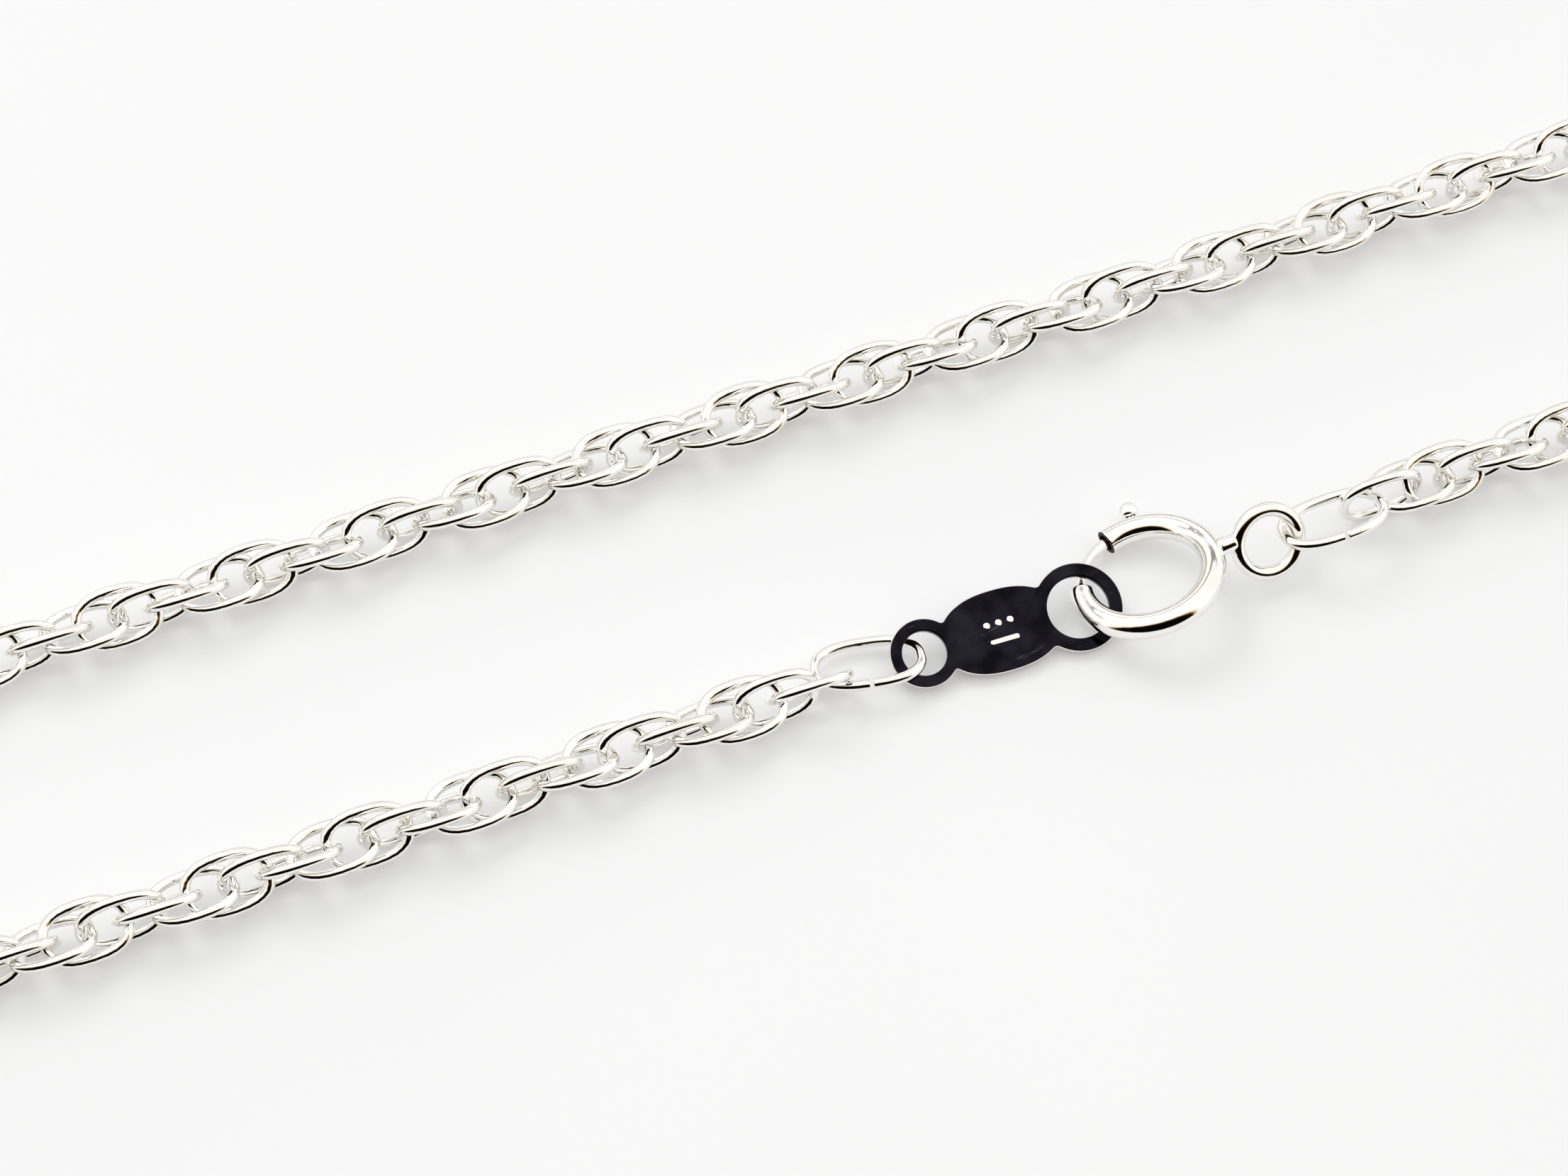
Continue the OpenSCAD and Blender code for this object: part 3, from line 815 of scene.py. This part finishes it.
def white_board():
    """A square of 8 m, matt, with the faintest unevenness in its white and a glow of its own."""
    material, tree, shader, place = new_material("backlit_white_acrylic")
    for socket, value in (("Metallic", 0.0), ("Roughness", 0.7), ("Specular IOR Level", 0.2),
                          ("Emission Color", linear("#F8F8F7")), ("Emission Strength", 0.32)):
        shader.inputs[socket].default_value = value
    cloud = add(tree, "ShaderNodeTexNoise", {"Scale": per_mm(60), "Detail": 2.0}, {"Vector": place})
    shade = add(tree, "ShaderNodeValToRGB", links={"Fac": cloud.outputs["Fac"]})
    white = set_stops(shade, [(0.3, "#CFD0D1"), (0.7, "#D2D3D4")])
    tree.links.new(white, shader.inputs["Base Color"])
    mesh = bpy.data.meshes.new("white_board")
    corners = [(x * BOARD_HALF, y * BOARD_HALF, 0) for x, y in ((-1, -1), (1, -1), (1, 1), (-1, 1))]
    mesh.from_pydata(corners, [], [(0, 1, 2, 3)])
    mesh.materials.append(material)
    board = bpy.data.objects.new("white_board", mesh)
    scene.collection.objects.link(board)
    return board


board = white_board()
print("board", board.name)

# %% [markdown]
# ## The room's light
# Polished silver shows nothing but its surroundings, so these are the real drawing. The room is
# bright all round, but for one dark place low on the viewer's side, where the camera and whoever
# works it stand. Worked out from where the ring's two arcs are black in the photograph, that place
# reaches up to about 50 degrees and nearly as far to either side. It is the black line along the
# near side of each wire. A large soft lamp behind and above gives the pale shadows.

# %% The room
DARK_TURN, DARK_RISE, ROOM_STRENGTH = math.radians(-24), math.radians(5), 1.08
DARK_WAY = (math.cos(DARK_RISE) * math.sin(DARK_TURN), -math.cos(DARK_RISE) * math.cos(DARK_TURN),
            math.sin(DARK_RISE))
LAMP_AT, LAMP_AIM, LAMP_SIZE, LAMP_WATTS = (-0.10, 0.30, 0.38), (0.01, -0.005, 0.0), 0.24, 0.55


def bright_room():
    """The colour by the cosine of the angle from the dark place's middle: white, golden brown, then
    black. On the far side the height alone draws a warm grey line low down and a thin bar higher up.
    What the camera itself sees past the sheet's edge is plain pale paper."""
    world = bpy.data.worlds.new("bright_room")
    world.use_nodes = True
    tree = world.node_tree
    tree.nodes.clear()
    way = add(tree, "ShaderNodeTexCoord").outputs["Generated"]
    near = add(tree, "ShaderNodeVectorMath", {1: DARK_WAY}, {0: way}, operation="DOT_PRODUCT")
    ramp = add(tree, "ShaderNodeValToRGB", links={"Fac": near.outputs["Value"]})
    wall = set_stops(ramp, [(0.47, "#FFFFFF"), (0.53, "#E3CFA6"), (0.58, "#7A5A33"),
                            (0.63, "#150D07"), (0.7, "#060504")])
    along = add(tree, "ShaderNodeSeparateXYZ", links={"Vector": way})
    bar = add(tree, "ShaderNodeValToRGB", links={"Fac": along.outputs["Z"]})
    shade = set_stops(bar, [(0.08, "#A89878"), (0.2, "#FFFFFF"), (0.5, "#FFFFFF"), (0.55, "#8E8A84"),
                            (0.59, "#8E8A84"), (0.64, "#FFFFFF")])
    far = add(tree, "ShaderNodeMapRange", {"From Min": 0.35, "From Max": 0.7},
              {"Value": along.outputs["Y"]})
    colour = add(tree, "ShaderNodeMix",
                 links={MIX_SHARE: far.outputs["Result"], MIX_FIRST: wall, MIX_SECOND: shade},
                 data_type="RGBA", blend_type="MULTIPLY")
    light = add(tree, "ShaderNodeBackground", {"Strength": ROOM_STRENGTH},
                {"Color": colour.outputs[MIX_COLOUR]})
    paper = add(tree, "ShaderNodeBackground", {"Color": linear("#F4F4F4")})
    seen = add(tree, "ShaderNodeLightPath").outputs["Is Camera Ray"]
    both = add(tree, "ShaderNodeMixShader", links={0: seen, 1: light.outputs["Background"],
                                                   2: paper.outputs["Background"]})
    add(tree, "ShaderNodeOutputWorld", links={"Surface": both.outputs["Shader"]})
    return world


def stand(name, data, at, side, back):
    """Puts a lamp or the camera at a place in metres, with its X axis along side and its Z axis along
    back: it looks the other way."""
    obj = bpy.data.objects.new(name, data)
    obj.matrix_world = Matrix(np.column_stack([side, np.cross(back, side), back]).tolist()).to_4x4()
    obj.location = at
    scene.collection.objects.link(obj)
    return obj


def soft_lamp(name, at, aim, size, watts):
    """A square lamp at a place in metres, turned so that its light falls on the aim."""
    lamp = bpy.data.lights.new(name, "AREA")
    lamp.shape, lamp.size, lamp.energy = "SQUARE", size, watts
    back = np.array(at) - np.array(aim)
    side = np.cross([0.0, 0.0, 1.0], back)
    return stand(name, lamp, at, side / np.linalg.norm(side), back / np.linalg.norm(back))


scene.world = bright_room()
soft_lamp("key", LAMP_AT, LAMP_AIM, LAMP_SIZE, LAMP_WATTS)
scene.view_settings.view_transform = "Standard"
scene.view_settings.look = "None"
print("lit by", scene.world.name)

# %% [markdown]
# ## The camera
# The photograph was taken from close by with a long lens. The chain's two runs draw together a
# little towards the right, which fixes how far away the camera stands and how steeply it looks down.
# It looks along Y, turned towards X by VIEW_TURN and down by VIEW_RISE.

# %% The camera
FOCUS_PIXELS, IMAGE_W, SENSOR_W, DISTANCE = 5860.0, 2212.0, 36.0, 184.5
VIEW_TURN, VIEW_RISE = math.radians(21.38), math.radians(58.0)
LOOK_AT = np.array([0.0, -0.125, 0.0])
right_way = np.array([math.cos(VIEW_TURN), -math.sin(VIEW_TURN), 0.0])
ahead = np.array([math.sin(VIEW_TURN) * math.cos(VIEW_RISE),
                  math.cos(VIEW_TURN) * math.cos(VIEW_RISE), -math.sin(VIEW_RISE)])
camera_data = bpy.data.cameras.new("camera")
camera_data.sensor_width, camera_data.lens = SENSOR_W, SENSOR_W * FOCUS_PIXELS / IMAGE_W
camera_data.clip_start, camera_data.clip_end = 0.01, 10.0
camera_at = ((LOOK_AT - ahead * DISTANCE) * MM).tolist()
scene.camera = stand("camera", camera_data, camera_at, right_way, -ahead)
print("lens", round(camera_data.lens, 2), "mm")
